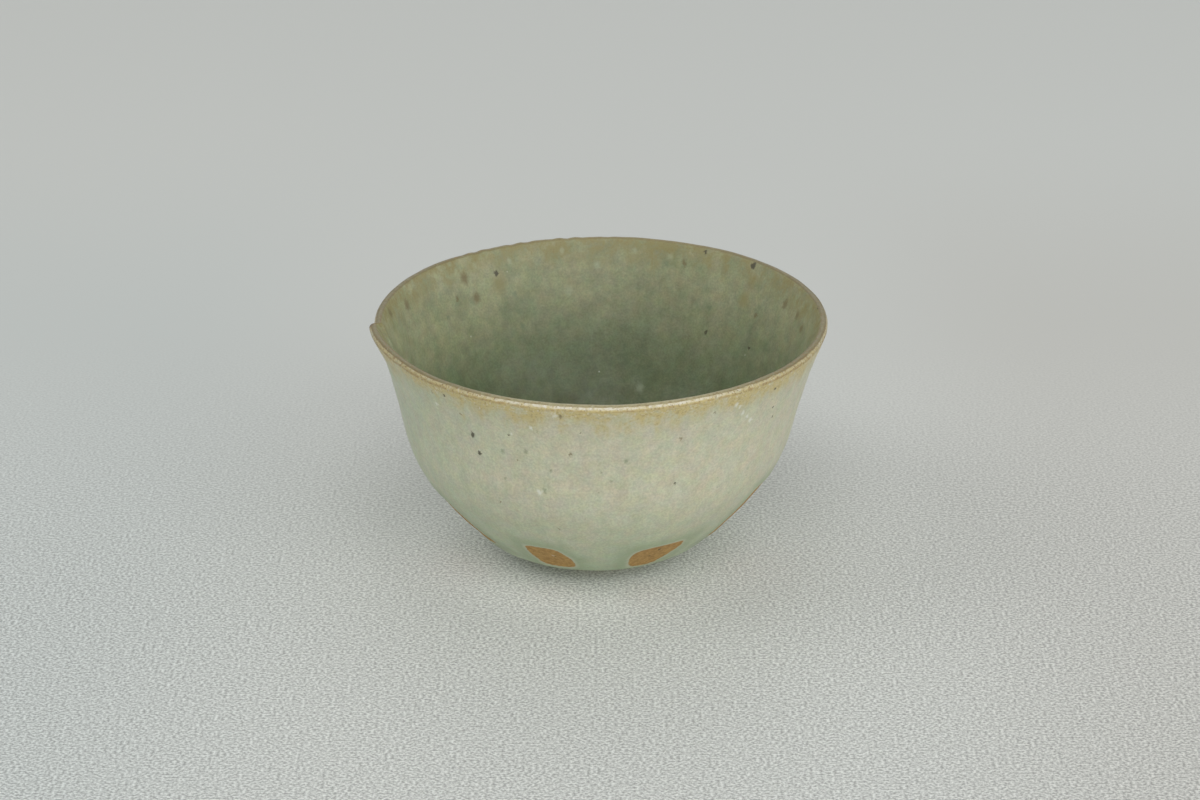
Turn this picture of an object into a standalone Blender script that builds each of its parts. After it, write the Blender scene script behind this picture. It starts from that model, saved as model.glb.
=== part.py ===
"""Ash glaze cup: a small wide bowl-shaped cup, thrown on a wheel and turned underneath.

It is one piece of fired clay: a flared lip, a wall that thickens towards the bottom, a rounded
lower body and a low turned foot ring that it stands on. The throwing left it a little out of true,
the lip is pulled out to a chipped step at its left, and the fingers that held the cup in the glaze
left shallow bare patches round the foot.

The origin is on the ground, under the middle of the rim. +Z is up and the front is -Y. An azimuth
is counted from the front, and is positive towards +X. All sizes are in metres and all angles in
degrees.
"""

import math

import bmesh
import bpy
from mathutils import Vector
from mathutils.geometry import interpolate_bezier

# The pot's own sizes
RIM_RADIUS = 0.0436
CUP_HEIGHT = 0.0466
LIP_THICKNESS = 0.0020
FLOOR_THICKNESS = 0.0040

# The foot ring, turned from the solid
FOOT_RADIUS = 0.0145
FOOT_HEIGHT = 0.0015
FOOT_WIDTH = 0.0035
FOOT_EDGE = 0.0004
RECESS_DEPTH = 0.0011

# How the outside runs from the lip down to the foot, as shares of the way out and of the way up
LIP_FLARE_ANGLE = 20.0
BODY_STATIONS = (
    (0.922, 0.834),
    (0.845, 0.650),
    (0.781, 0.480),
    (0.686, 0.346),
    (0.511, 0.191),
    (0.340, 0.085),
    (0.277, 0.042),
    (0.158, 0.018),
)

# How the floor inside curves up into the wall, as shares of its radius
FLOOR_LEVEL = 0.5
FLOOR_CURVE = 0.4

# Hand-made departures from a true turned form
LEAN_TO_LEFT = 0.0011
LEAN_TO_FRONT = 0.0017
OVALITY = 0.00012
OVAL_LOBES = 3.0
OVAL_TURN = 40.0
RIM_RISE = 0.00022
RIM_HIGHEST_AT = 150.0

# The lip is pulled outwards between two azimuths, and ends there in a broken step
FLARE_OUT = 0.0011
FLARE_START = -58.0
FLARE_END = -84.0
FLARE_STEP = 2.0
FLARE_REACH_DOWN = 0.0065

# Bare patches left by the fingers and the thumb. Each has its azimuth, and the height of its
# middle, its width and its own height as shares of the cup's height.
PATCH_DEPTH = 0.00045
PATCH_EDGE = 0.3
FINGER_PATCHES = (
    (-65.0, 0.200, 0.190, 0.180),
    (-18.0, 0.170, 0.190, 0.150),
    (23.5, 0.172, 0.212, 0.155),
    (67.0, 0.262, 0.190, 0.195),
    (178.0, 0.225, 0.290, 0.180),
)

# How finely the form is divided
AROUND = 96
STEPS_PER_STATION = 2
LIP_STEPS = 6
FLOOR_STEPS = 4

GLAZE_COLOUR = (0.44, 0.43, 0.31, 1.0)
GLAZE_ROUGHNESS = 0.38
WELD_DISTANCE = 0.000001
SHARP_ANGLE = 40.0


def clear_scene():
    """Removes every object that the file holds."""
    for obj in list(bpy.data.objects):
        bpy.data.objects.remove(obj, do_unlink=True)


def smooth_step(value):
    """Eases from 0 to 1 as the value does."""
    share = min(max(value, 0.0), 1.0)
    return share * share * (3.0 - 2.0 * share)


def smooth_curve(points, steps):
    """Returns a smooth curve through the points, with the given number of steps between two of them."""
    before = 2.0 * points[0] - points[1]
    after = 2.0 * points[-1] - points[-2]
    ends = [before, *points, after]
    curve = []
    for a, b, c, d in zip(ends, ends[1:], ends[2:], ends[3:]):
        handle_out = b + (c - a) / 6.0
        handle_in = c - (d - b) / 6.0
        curve += interpolate_bezier(b, handle_out, handle_in, c, steps + 1)[:-1]
    return curve + [points[-1]]


def lip_centre():
    """The middle of the lip's round section, as radius and height."""
    half = LIP_THICKNESS / 2.0
    return Vector((RIM_RADIUS - half, CUP_HEIGHT - half))


def outer_line():
    """The outside of the body, from the lip's flank down to the foot."""
    angle = math.radians(-LIP_FLARE_ANGLE)
    flank = lip_centre() + Vector((math.cos(angle), math.sin(angle))) * LIP_THICKNESS / 2.0
    points = [flank]
    for share_out, share_up in BODY_STATIONS:
        radius = FOOT_RADIUS + share_out * (RIM_RADIUS - FOOT_RADIUS)
        height = FOOT_HEIGHT + share_up * (CUP_HEIGHT - FOOT_HEIGHT)
        points.append(Vector((radius, height)))
    points.append(Vector((FOOT_RADIUS, FOOT_HEIGHT)))
    return smooth_curve(points, STEPS_PER_STATION)


def lip_line():
    """The round top of the lip, from its inner flank over to its outer flank, ends left out."""
    centre = lip_centre()
    start = math.radians(180.0 - LIP_FLARE_ANGLE)
    end = math.radians(-LIP_FLARE_ANGLE)
    points = []
    for step in range(1, LIP_STEPS):
        angle = start + (end - start) * step / LIP_STEPS
        points.append(centre + Vector((math.cos(angle), math.sin(angle))) * LIP_THICKNESS / 2.0)
    return points


def inner_line(outer):
    """The inside, from the middle of the floor up to the lip's inner flank.

    It runs one wall inside the outer line. The wall thickens evenly from the lip to the floor.
    """
    lengths = [0.0]
    for above, below in zip(outer, outer[1:]):
        lengths.append(lengths[-1] + (below - above).length)
    wall_line = []
    for index in range(len(outer) - 1):
        along = outer[index + 1] - outer[max(index - 1, 0)]
        inward = Vector((along.y, -along.x)).normalized()
        share = lengths[index] / lengths[-1]
        wall = LIP_THICKNESS + (FLOOR_THICKNESS - LIP_THICKNESS) * share
        wall_line.append(outer[index] + inward * wall)
    wall_line.reverse()
    middle = Vector((0.0, RECESS_DEPTH + FLOOR_THICKNESS))
    edge = wall_line[0]
    level = Vector((edge.x * FLOOR_LEVEL, middle.y))
    slope = edge + (edge - wall_line[1]).normalized() * edge.x * FLOOR_CURVE
    floor = interpolate_bezier(middle, level, slope, edge, FLOOR_STEPS + 1)
    return floor[:-1] + wall_line


def foot_line():
    """The foot ring and the recess inside it, from the ring's outer flank to the axis."""
    inside = FOOT_RADIUS - FOOT_WIDTH
    return [
        Vector((FOOT_RADIUS, FOOT_EDGE)),
        Vector((FOOT_RADIUS - FOOT_EDGE, 0.0)),
        Vector((inside + FOOT_EDGE, 0.0)),
        Vector((inside, FOOT_EDGE)),
        Vector((inside - FOOT_EDGE, RECESS_DEPTH)),
        Vector((0.0, RECESS_DEPTH)),
    ]


def profile():
    """The whole half section, from the middle of the floor over the lip to the recess."""
    outer = outer_line()
    return inner_line(outer) + lip_line() + outer + foot_line()


def spin_profile():
    """Returns the true turned form as a bmesh."""
    form = bmesh.new()
    chain = [form.verts.new((point.x, 0.0, point.y)) for point in profile()]
    edges = [form.edges.new(pair) for pair in zip(chain, chain[1:])]
    bmesh.ops.spin(
        form,
        geom=chain + edges,
        cent=(0.0, 0.0, 0.0),
        axis=(0.0, 0.0, 1.0),
        angle=2.0 * math.pi,
        steps=AROUND,
        use_merge=True,
    )
    bmesh.ops.remove_doubles(form, verts=form.verts, dist=WELD_DISTANCE)
    bmesh.ops.recalc_face_normals(form, faces=form.faces)
    form.normal_update()
    return form


def azimuth_of(position):
    """The azimuth of a point, counted from the front."""
    return math.degrees(math.atan2(position.x, -position.y))


def lip_flare(azimuth, height):
    """How far the lip is pulled outwards there."""
    rise = smooth_step((azimuth - FLARE_START) / (FLARE_END - FLARE_START))
    past_step = smooth_step((FLARE_END - azimuth) / FLARE_STEP)
    near_lip = smooth_step(1.0 - (CUP_HEIGHT - height) / FLARE_REACH_DOWN)
    return FLARE_OUT * rise * (1.0 - past_step) * near_lip


def patch_recess(azimuth, radius, height):
    """How deep the bare finger patches lie below the glaze there."""
    deepest = 0.0
    for centre, middle, width, tall in FINGER_PATCHES:
        turn = (azimuth - centre + 180.0) % 360.0 - 180.0
        across = math.radians(turn) * radius / (width * CUP_HEIGHT / 2.0)
        up = (height / CUP_HEIGHT - middle) / (tall / 2.0)
        inside = (1.0 - math.hypot(across, up)) / PATCH_EDGE
        deepest = max(deepest, PATCH_DEPTH * smooth_step(inside))
    return deepest


def shape_by_hand(form):
    """Moves the turned form's points as the hands, the fingers and the kiln did."""
    moves = {}
    for vertex in form.verts:
        position = vertex.co
        radius = math.hypot(position.x, position.y)
        if radius < WELD_DISTANCE:
            continue
        azimuth = azimuth_of(position)
        radial = Vector((position.x, position.y, 0.0)) / radius
        share_up = position.z / CUP_HEIGHT
        outwards = lip_flare(azimuth, position.z)
        outwards += OVALITY * math.cos(math.radians(OVAL_LOBES * azimuth + OVAL_TURN)) * share_up**2
        move = radial * outwards
        move.z = RIM_RISE * math.cos(math.radians(azimuth - RIM_HIGHEST_AT)) * share_up**2
        if vertex.normal.dot(radial) > 0.0 and position.z > FOOT_HEIGHT:
            move -= vertex.normal * patch_recess(azimuth, radius, position.z)
        moves[vertex] = move
    for vertex, move in moves.items():
        vertex.co += move
    for vertex in form.verts:
        below_rim = 1.0 - vertex.co.z / CUP_HEIGHT
        vertex.co.x -= LEAN_TO_LEFT * below_rim
        vertex.co.y -= LEAN_TO_FRONT * below_rim


def glaze_material():
    """The pale celadon ash glaze."""
    material = bpy.data.materials.new("ash_glaze")
    material.use_nodes = True
    shader = material.node_tree.nodes["Principled BSDF"]
    shader.inputs["Base Color"].default_value = GLAZE_COLOUR
    shader.inputs["Roughness"].default_value = GLAZE_ROUGHNESS
    shader.inputs["Metallic"].default_value = 0.0
    material.diffuse_color = GLAZE_COLOUR
    return material


def build_cup():
    """Makes the cup, one piece of fired clay."""
    form = spin_profile()
    shape_by_hand(form)
    form.normal_update()
    mesh = bpy.data.meshes.new("cup")
    form.to_mesh(mesh)
    form.free()
    mesh.materials.append(glaze_material())
    mesh.shade_smooth()
    mesh.set_sharp_from_angle(angle=math.radians(SHARP_ANGLE))
    cup = bpy.data.objects.new("cup", mesh)
    bpy.context.scene.collection.objects.link(cup)
    return cup


clear_scene()
build_cup()
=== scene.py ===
"""A small ash glazed cup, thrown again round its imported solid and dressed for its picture.

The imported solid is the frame. One finely divided cup takes its place, with the marks of the hands
and of the kiln that the solid leaves out, and carries the whole glaze. The origin is on the
ground under the middle of the rim, +Z is up and the front is -Y. An azimuth is in degrees from
the front, positive towards +X. Sizes are in metres, but what belongs to the pattern of a finish,
and the way along the wall from the lip's crest, is in millimetres.
"""

import logging
import math
from dataclasses import dataclass, field
from enum import Enum
from functools import reduce
from typing import NamedTuple

import bpy
import numpy as np
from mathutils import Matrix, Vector
from mathutils.geometry import interpolate_bezier
from mathutils.kdtree import KDTree


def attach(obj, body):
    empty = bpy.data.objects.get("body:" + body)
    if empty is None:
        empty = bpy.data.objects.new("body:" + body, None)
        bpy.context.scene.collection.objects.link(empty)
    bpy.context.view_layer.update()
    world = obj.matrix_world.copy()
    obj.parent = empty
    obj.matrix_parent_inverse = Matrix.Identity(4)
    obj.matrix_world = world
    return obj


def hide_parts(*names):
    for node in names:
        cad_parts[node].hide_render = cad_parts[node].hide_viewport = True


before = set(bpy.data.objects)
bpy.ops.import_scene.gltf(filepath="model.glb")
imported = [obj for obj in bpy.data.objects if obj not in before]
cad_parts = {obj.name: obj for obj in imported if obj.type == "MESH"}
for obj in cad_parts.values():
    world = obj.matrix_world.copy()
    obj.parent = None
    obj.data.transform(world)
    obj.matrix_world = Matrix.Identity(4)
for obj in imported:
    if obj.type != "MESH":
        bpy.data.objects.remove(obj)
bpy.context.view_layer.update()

Pair = tuple[float, float]
Triple = tuple[float, float, float]
Colour = Place = Triple
Ramp = tuple[float, ...]
Cloud = tuple[float | Place, ...]
Mottle = tuple[Cloud, Ramp]
Drift = tuple[float, Ramp]
Band = tuple[float, Ramp]
Socket = bpy.types.NodeSocket
MM = 0.001
NOWHERE: Place = (0.0, 0.0, 0.0)
RAMP_SOCKETS = ("Value", "From Min", "From Max", "To Min", "To Max")
CLOUD_SOCKETS = ("Vector", "Scale", "Detail", "Roughness")
log = logging.getLogger("cup")


class Side(Enum):
    """Which face of the wall a mark lies on."""

    OUTSIDE = 1
    INSIDE = -1


class Fleck(Enum):
    """What a single mark in the glaze is."""

    DARK = "dark"
    BROWN = "brown"
    GREEN = "green"
    WHITE = "white"
    STAIN = "stain"
    CLOUD = "cloud"


class PlacedFleck(NamedTuple):
    """One listed mark in the glaze, by its azimuth and its depth under the lip."""

    kind: Fleck
    side: Side
    azimuth: float
    depth: float
    radius: float


def flecks(kind: Fleck, side: Side, *rows: Triple) -> tuple[PlacedFleck, ...]:
    """Flecks of one kind on one side, each by its azimuth, depth and radius."""
    return tuple(PlacedFleck(kind, side, *row) for row in rows)


FLECKS = (
    # White flecks, some of them painted glints of light on the glaze
    *flecks(
        Fleck.WHITE, Side.OUTSIDE, (-44.1, 1.8, 0.22), (-45.7, 4.9, 0.3), (-30.6, 2.4, 0.2),
        (-33.5, 12.4, 0.2), (-22.8, 7.0, 0.3), (-10.9, 1.5, 0.42), (-17.3, 5.0, 0.35),
        (-16.4, 19.1, 0.5), (35.8, 2.8, 0.42), (37.2, 3.7, 0.34), (41.0, 6.6, 0.38),
        (39.0, 5.4, 0.46), (42.8, 7.9, 0.46), (-17.2, 37.2, 0.2),
    ),
    *flecks(
        Fleck.BROWN, Side.OUTSIDE, (-82.5, 1.4, 0.34), (-46.1, 2.4, 0.2), (-37.5, 5.2, 0.2),
        (-9.6, 1.5, 0.4), (-7.4, 10.2, 0.3), (-29.0, 23.1, 0.22), (-11.5, 27.7, 0.2),
        (-21.9, 12.6, 0.25), (29.4, 3.3, 0.22), (21.2, 7.9, 0.3),
    ),
    *flecks(
        Fleck.DARK, Side.OUTSIDE, (-41.5, 2.0, 0.24), (-34.9, 9.2, 0.45), (-33.7, 13.0, 0.42),
        (-23.6, 7.2, 0.22), (-4.8, 5.1, 0.2), (49.0, 2.6, 0.22), (51.5, 7.3, 0.24),
        (52.8, 9.6, 0.2), (21.3, 17.9, 0.26), (24.6, 36.0, 0.3), (22.6, 38.2, 0.18),
        (-16.4, 37.5, 0.25),
    ),
    *flecks(
        Fleck.GREEN, Side.OUTSIDE, (-15.8, 5.7, 0.22), (-19.2, 10.4, 0.4), (-26.1, 11.3, 0.4),
        (-14.9, 18.7, 0.4), (-12.9, 14.1, 0.3), (-26.3, 17.3, 0.3), (0.5, 14.0, 0.2),
        (3.7, 16.0, 0.25), (7.0, 11.6, 0.4), (47.5, 19.5, 0.3),
    ),
    *flecks(
        Fleck.DARK, Side.INSIDE, (-148.2, 3.6, 0.5), (149.1, -0.2, 0.35), (132.5, -0.2, 0.6),
        (95.1, -0.8, 0.3), (143.4, 14.6, 0.35), (124.7, 14.5, 0.35),
    ),
    *flecks(
        Fleck.STAIN, Side.INSIDE, (-148.8, 5.7, 1.3), (132.1, 6.3, 1.2),
    ),
    *flecks(
        Fleck.BROWN, Side.INSIDE, (-140.1, 7.3, 0.85), (-133.0, 6.3, 0.42), (-110.1, 2.5, 0.85),
        (-98.2, 1.1, 0.8), (-137.3, 3.0, 0.9), (154.8, 2.5, 0.55), (114.3, 3.3, 0.8),
        (125.7, 8.2, 0.4), (105.8, 3.6, 0.7), (99.6, 4.6, 0.7),
    ),
    *flecks(
        Fleck.GREEN, Side.INSIDE, (-127.6, 8.9, 0.4), (-153.2, 8.3, 0.5), (-154.8, 14.8, 0.5),
        (160.1, 3.1, 0.4), (143.9, 9.8, 0.4), (174.1, 17.3, 0.5),
    ),
    *flecks(
        Fleck.CLOUD, Side.INSIDE, (-168.9, 1.2, 0.5), (-179.1, 4.0, 0.6), (-153.0, 1.9, 0.5),
        (-141.8, 1.4, 0.5), (-170.5, 8.9, 0.8), (170.1, 1.2, 0.45), (159.4, 1.7, 0.6),
        (164.0, 27.2, 0.8),
    ),
)


def ease(values: np.ndarray) -> np.ndarray:
    """The values, cut off at 0 and 1 and eased between them."""
    share = np.clip(values, 0.0, 1.0)
    return share * share * (3.0 - 2.0 * share)


def gap(azimuths: np.ndarray, middle: float) -> np.ndarray:
    """By how many degrees azimuths lie past a middle, from -180 to 180."""
    return (azimuths - middle + 180.0) % 360.0 - 180.0


def smooth_curve(points: list[Vector], steps: int) -> list[Vector]:
    """Draws a smooth curve through points.

    Args:
        points: the points that it passes.
        steps: how many steps it takes between two of them.

    Returns:
        The points of the curve.
    """
    ends = [2.0 * points[0] - points[1], *points, 2.0 * points[-1] - points[-2]]
    curve = []
    for a, b, c, d in zip(ends, ends[1:], ends[2:], ends[3:]):
        curve += interpolate_bezier(b, b + (c - a) / 6.0, c - (d - b) / 6.0, c, steps + 1)[:-1]
    return curve + [points[-1]]


def evenly(points: list[Vector], count: int) -> list[Vector]:
    """Spaces points evenly along a line.

    Args:
        points: the line's own points.
        count: how many to return, both ends among them.

    Returns:
        The evenly spaced points.
    """
    line = np.array(points)
    along = np.concatenate([[0.0], np.cumsum(np.linalg.norm(np.diff(line, axis=0), axis=1))])
    places = np.linspace(0.0, along[-1], count)
    return [Vector([np.interp(place, along, line[:, axis]) for axis in (0, 1)]) for place in places]


@dataclass(frozen=True)
class Section:
    """The cup's half section, as radius and height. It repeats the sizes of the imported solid."""

    rim_radius: float = 0.0436
    height: float = 0.0466
    lip: float = 0.002
    floor: float = 0.004
    foot_radius: float = 0.0145
    foot_height: float = 0.0015
    foot_width: float = 0.0035
    foot_edge: float = 0.0004
    recess: float = 0.0011
    flank_angle: float = 20.0
    stations: tuple[Pair, ...] = (
        (0.922, 0.834), (0.845, 0.65), (0.781, 0.48), (0.686, 0.346),
        (0.511, 0.191), (0.34, 0.085), (0.277, 0.042), (0.158, 0.018),
    )
    floor_level: float = 0.5
    floor_curve: float = 0.4

    # How finely the curves are drawn, the rings of each stretch, the points of the fine section,
    # and the small hole round the axis that is closed at the end
    curve_steps: int = 24
    floor_steps: int = 64
    floor_rings: int = 7
    inside_rings: int = 18
    lip_steps: int = 8
    outside_rings: int = 27
    fine_points: tuple[int, int, int, int] = (400, 1000, 1200, 500)
    fine_lip_angles: range = range(190, -20, -10)
    hole: float = 0.0015

    # The rings of throwing: their depths, how far apart they are, and two waves between them
    outside_ring: float = 0.00004
    inside_ring: float = 0.0001
    ring_pitch: float = 0.0056
    ring_wave: float = 0.35
    odd_wave: float = 0.15
    odd_pitch: float = 1.63
    odd_start: float = 1.0

    def lip_point(self, angle: float) -> Vector:
        """Finds a point of the lip's round section.

        Args:
            angle: its angle from the level, in degrees.

        Returns:
            The point.
        """
        turn, half = math.radians(angle), self.lip / 2.0
        middle = Vector((self.rim_radius - half, self.height - half))
        return middle + Vector((math.cos(turn), math.sin(turn))) * half

    def outer(self) -> list[Vector]:
        """Draws the outside.

        Returns:
            Its points, from the lip's flank down to the foot.
        """
        points = [self.lip_point(-self.flank_angle)]
        for out, up in self.stations:
            radius = self.foot_radius + out * (self.rim_radius - self.foot_radius)
            height = self.foot_height + up * (self.height - self.foot_height)
            points.append(Vector((radius, height)))
        points.append(Vector((self.foot_radius, self.foot_height)))
        return smooth_curve(points, self.curve_steps)

    def inner(self) -> tuple[list[Vector], list[Vector]]:
        """Draws the inside of the wall and the floor.

        Returns:
            The floor from its middle outwards, and the wall from the floor up to the lip.
        """
        outer = self.outer()
        lengths = np.cumsum([0.0] + [(b - a).length for a, b in zip(outer, outer[1:])])
        wall = []
        for index in range(len(outer) - 1):
            along = outer[index + 1] - outer[max(index - 1, 0)]
            thickness = self.lip + (self.floor - self.lip) * lengths[index] / lengths[-1]
            wall.append(outer[index] + Vector((along.y, -along.x)).normalized() * thickness)
        wall.reverse()
        height = self.recess + self.floor
        edge = wall[0]
        middle = Vector((self.hole, height))
        level = Vector((edge.x * self.floor_level, height))
        slope = edge + (edge - wall[1]).normalized() * edge.x * self.floor_curve
        return list(interpolate_bezier(middle, level, slope, edge, self.floor_steps)), wall

    def foot(self) -> list[Vector]:
        """Draws the foot ring and its recess.

        Returns:
            Their points, from the ring's outer flank to near the axis.
        """
        inside = self.foot_radius - self.foot_width
        edge = self.foot_edge
        points = (
            (self.foot_radius, (self.foot_height + edge) / 2.0),
            (self.foot_radius, edge),
            (self.foot_radius - edge, 0.0),
            (self.foot_radius - self.foot_width / 2.0, 0.0),
            (inside + edge, 0.0),
            (inside, edge),
            (inside - edge, self.recess),
            (inside - 3.0 * edge, self.recess),
            (inside / 2.0, self.recess),
            (self.hole, self.recess),
        )
        return [Vector(point) for point in points]

    def ringed(self, line: list[Vector], depth: float) -> list[Vector]:
        """Presses the shallow rings of throwing into a line.

        Args:
            line: the line, in order.
            depth: how deep the rings go.

        Returns:
            The line with its rings. Its ends stay.
        """
        points = []
        along = 0.0
        for before, point, after in zip(line, line[1:], line[2:]):
            along += (point - before).length
            turn = 2.0 * math.pi * along / self.ring_pitch
            odd = math.cos(self.odd_pitch * turn + self.odd_start)
            wave = 0.5 - self.ring_wave * math.cos(turn) - self.odd_wave * odd
            step = after - before
            points.append(point + Vector((step.y, -step.x)).normalized() * depth * wave)
        return [line[0], *points, line[-1]]

    def rings(self) -> list[Vector]:
        """Lists the rings that the cup is drawn up through.

        Returns:
            Their radii and heights, from the floor's middle over the lip to the recess's middle.
        """
        floor, wall = self.inner()
        start, end = 180.0 - self.flank_angle, -self.flank_angle
        shares = [step / self.lip_steps for step in range(1, self.lip_steps)]
        lip = [self.lip_point(start + (end - start) * share) for share in shares]
        inside = self.ringed(evenly(wall, self.inside_rings), self.inside_ring)
        outside = self.ringed(evenly(self.outer(), self.outside_rings), self.outside_ring)
        return evenly(floor, self.floor_rings)[:-1] + inside[:-1] + lip + outside + self.foot()

    def path(self) -> tuple[list[Vector], np.ndarray]:
        """Draws the fine section and measures the way along it.

        Returns:
            Its points, and their distance in millimetres from the lip's crest: over 0 on the
            outside and the foot, under 0 on the inside.
        """
        lip = [self.lip_point(angle) for angle in self.fine_lip_angles]
        lines = (*self.inner(), self.outer(), self.foot())
        floor, wall, outer, foot = [evenly(*pair) for pair in zip(lines, self.fine_points)]
        points = floor + wall + lip + outer + foot
        steps = [(b - a).length for a, b in zip(points, points[1:])]
        along = np.concatenate([[0.0], np.cumsum(steps)]) / MM
        crest = int(np.argmax([point.y for point in points]))
        return points, along - along[crest]


@dataclass
class ThrownCup:
    """The cup, thrown from one ring and marked by the hands, the fingers and the kiln."""

    section: Section = Section()
    columns: int = 88
    divisions: int = 2

    # Its lean, how far its rim is from round and from level, and the waves along the rim by share,
    # count and start: slow ones all round, and short ones at the back left
    lean_left: float = 0.0011
    lean_front: float = 0.0017
    ovality: float = 0.00012
    lobes: float = 3.0
    oval_turn: float = 40.0
    rim_rise: float = 0.00022
    rim_highest: float = 150.0
    rim_reach: float = 5.0
    slow_depth: float = 0.0001
    slow_waves: tuple[Triple, ...] = ((0.3, 7.0, 1.0), (0.2, 12.0, 0.0))
    short_depth: float = 0.00026
    short_waves: tuple[Triple, ...] = ((0.28, 67.0, 0.0), (0.22, 93.0, 2.0))
    short_middle: float = -160.0
    short_reach: float = 30.0
    short_fade: float = 16.0

    # The lip, pulled outwards up to where it is broken, the points that are drawn together there,
    # and the broken face just past it
    flare_out: float = 0.00103
    flare_start: float = -58.0
    flare_reach: float = 0.0065
    break_at: float = -85.0
    break_width: float = 0.55
    gather_reach: float = 14.0
    gather_pull: float = 0.86
    chip_past: float = 0.7
    chip_width: float = 0.8
    chip_way: float = 0.8
    chip_height: float = 0.9
    chip_full: float = 1.5

    # How unevenly the glaze lies, as a name, a grain and a depth, and how it ends at a bare mark:
    # a thin step, a dished middle and a low roll. A mark's corners are azimuths and heights in mm.
    lies: tuple[tuple[str, float, float], ...] = (
        ("swell", 0.005, 0.00011),
        ("ripple", 0.0019, 0.00004),
    )
    glaze_depth: float = 0.00011
    step_at: float = 0.15
    step_width: float = 0.45
    dish_depth: float = 0.00016
    dish_width: float = 3.0
    roll_height: float = 0.00003
    roll_at: float = 0.75
    roll_width: float = 0.5
    corner_softness: float = 0.72
    exponents: Pair = (-40.0, 60.0)
    marks_start: float = 10.0
    far: float = 99.0
    marks: tuple[tuple[Pair, ...], ...] = (
        ((-27.4, 11.2), (-14.6, 11.4), (-8.6, 7.8), (-8.8, 4.5), (-25.2, 4.6)),
        ((15.0, 10.7), (34.6, 11.6), (34.2, 9.0), (28.8, 4.4), (15.4, 4.3), (12.7, 8.8)),
        ((-74.0, 15.6), (-58.5, 15.6), (-49.2, 11.0), (-44.8, 7.2), (-60.0, 5.2), (-74.0, 7.0)),
        ((59.0, 18.6), (75.0, 18.2), (79.0, 11.0), (72.0, 7.2), (48.5, 8.0), (51.5, 12.4)),
        ((161.0, 14.0), (194.0, 14.6), (196.0, 8.0), (190.0, 6.6), (164.0, 6.8)),
    )

    # What a fleck's depth is counted from, and how far off the crest it keeps, in millimetres
    fleck_level: float = 0.0456
    fleck_clear: float = 0.3

    # The cup, and its points while the hands mark them
    piece: bpy.types.Object = field(init=False)
    places: np.ndarray = field(init=False)
    radii: np.ndarray = field(init=False)
    azimuths: np.ndarray = field(init=False)
    way: np.ndarray = field(init=False)

    def throw(self) -> None:
        """Draws the cup up from one ring, ring by ring, and closes both its ends."""
        rings = self.section.rings()
        first = rings[0]
        bpy.ops.object.select_all(action="DESELECT")
        bpy.ops.mesh.primitive_circle_add(
            vertices=self.columns, radius=first.x, fill_type="NOTHING", location=(0.0, 0.0, first.y)
        )
        self.piece = bpy.context.object
        self.piece.name = self.piece.data.name = "glazed_cup"
        bpy.ops.object.mode_set(mode="EDIT")
        bpy.ops.mesh.select_mode(type="VERT")
        bpy.ops.mesh.select_all(action="SELECT")
        for last, ring in zip(rings, rings[1:]):
            rise = {"value": (0.0, 0.0, ring.y - last.y)}
            bpy.ops.mesh.extrude_region_move(TRANSFORM_OT_translate=rise)
            grown = ring.x / last.x
            bpy.ops.transform.resize(value=(grown, grown, 1.0), center_override=NOWHERE)
        bpy.ops.mesh.select_all(action="SELECT")
        bpy.ops.mesh.fill_holes(sides=0)
        bpy.ops.mesh.select_all(action="SELECT")
        bpy.ops.mesh.normals_make_consistent(inside=False)
        bpy.ops.object.mode_set(mode="OBJECT")
        bpy.ops.object.transform_apply(location=True, rotation=True, scale=True)

    def apply(self, kind: str, **settings: object) -> None:
        """Puts a modifier on the cup and applies it.

        Args:
            kind: the modifier's type.
            settings: its own settings.
        """
        modifier = self.piece.modifiers.new(kind.lower(), kind)
        for name, value in settings.items():
            setattr(modifier, name, value)
        bpy.ops.object.modifier_apply(modifier=modifier.name)

    def smooth_and_sag(self) -> None:
        """Divides the cup finely and lets the fired glaze lie unevenly on it."""
        self.apply("SUBSURF", levels=self.divisions, render_levels=self.divisions)
        for name, grain, depth in self.lies:
            cloud = bpy.data.textures.new(name, "CLOUDS")
            cloud.noise_scale = grain
            cloud.noise_depth = 1
            self.apply(
                "DISPLACE", texture=cloud, strength=depth, mid_level=1.0, texture_coords="LOCAL"
            )

    def read_way(self) -> None:
        """Finds each point's way along the wall from the lip's crest, on the true form."""
        points, along = self.section.path()
        tree = KDTree(len(points))
        for index, point in enumerate(points):
            tree.insert((point.x, point.y, 0.0), index)
        tree.balance()
        pairs = zip(self.radii, self.places[:, 2])
        self.way = along[[tree.find((radius, height, 0.0))[1] for radius, height in pairs]]

    def mark_distance(self) -> np.ndarray:
        """Finds how far each point lies outside the nearest bare mark.

        Returns:
            The distances in millimetres, under 0 inside a mark.
        """
        points, along = self.section.path()
        outside = along > 0.0
        heights = np.array([point.y for point in points])[outside][::-1]
        ways = along[outside][::-1]
        nearest = np.full(len(self.way), self.far)
        for mark in self.marks:
            middle = sum(corner[0] for corner in mark) / len(mark)
            across = np.radians(gap(self.azimuths, middle)) * self.radii / MM
            corners = []
            for azimuth, height in mark:
                down = np.interp(height * MM, heights, ways)
                radius = points[int(np.argmin(np.abs(along - down)))].x / MM
                corners.append((math.radians(azimuth - middle) * radius, down))
            distance = self.outline_distance(across, np.array(corners))
            outside = self.way > self.marks_start
            nearest = np.minimum(nearest, np.where(outside, distance, self.far))
        return nearest

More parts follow.
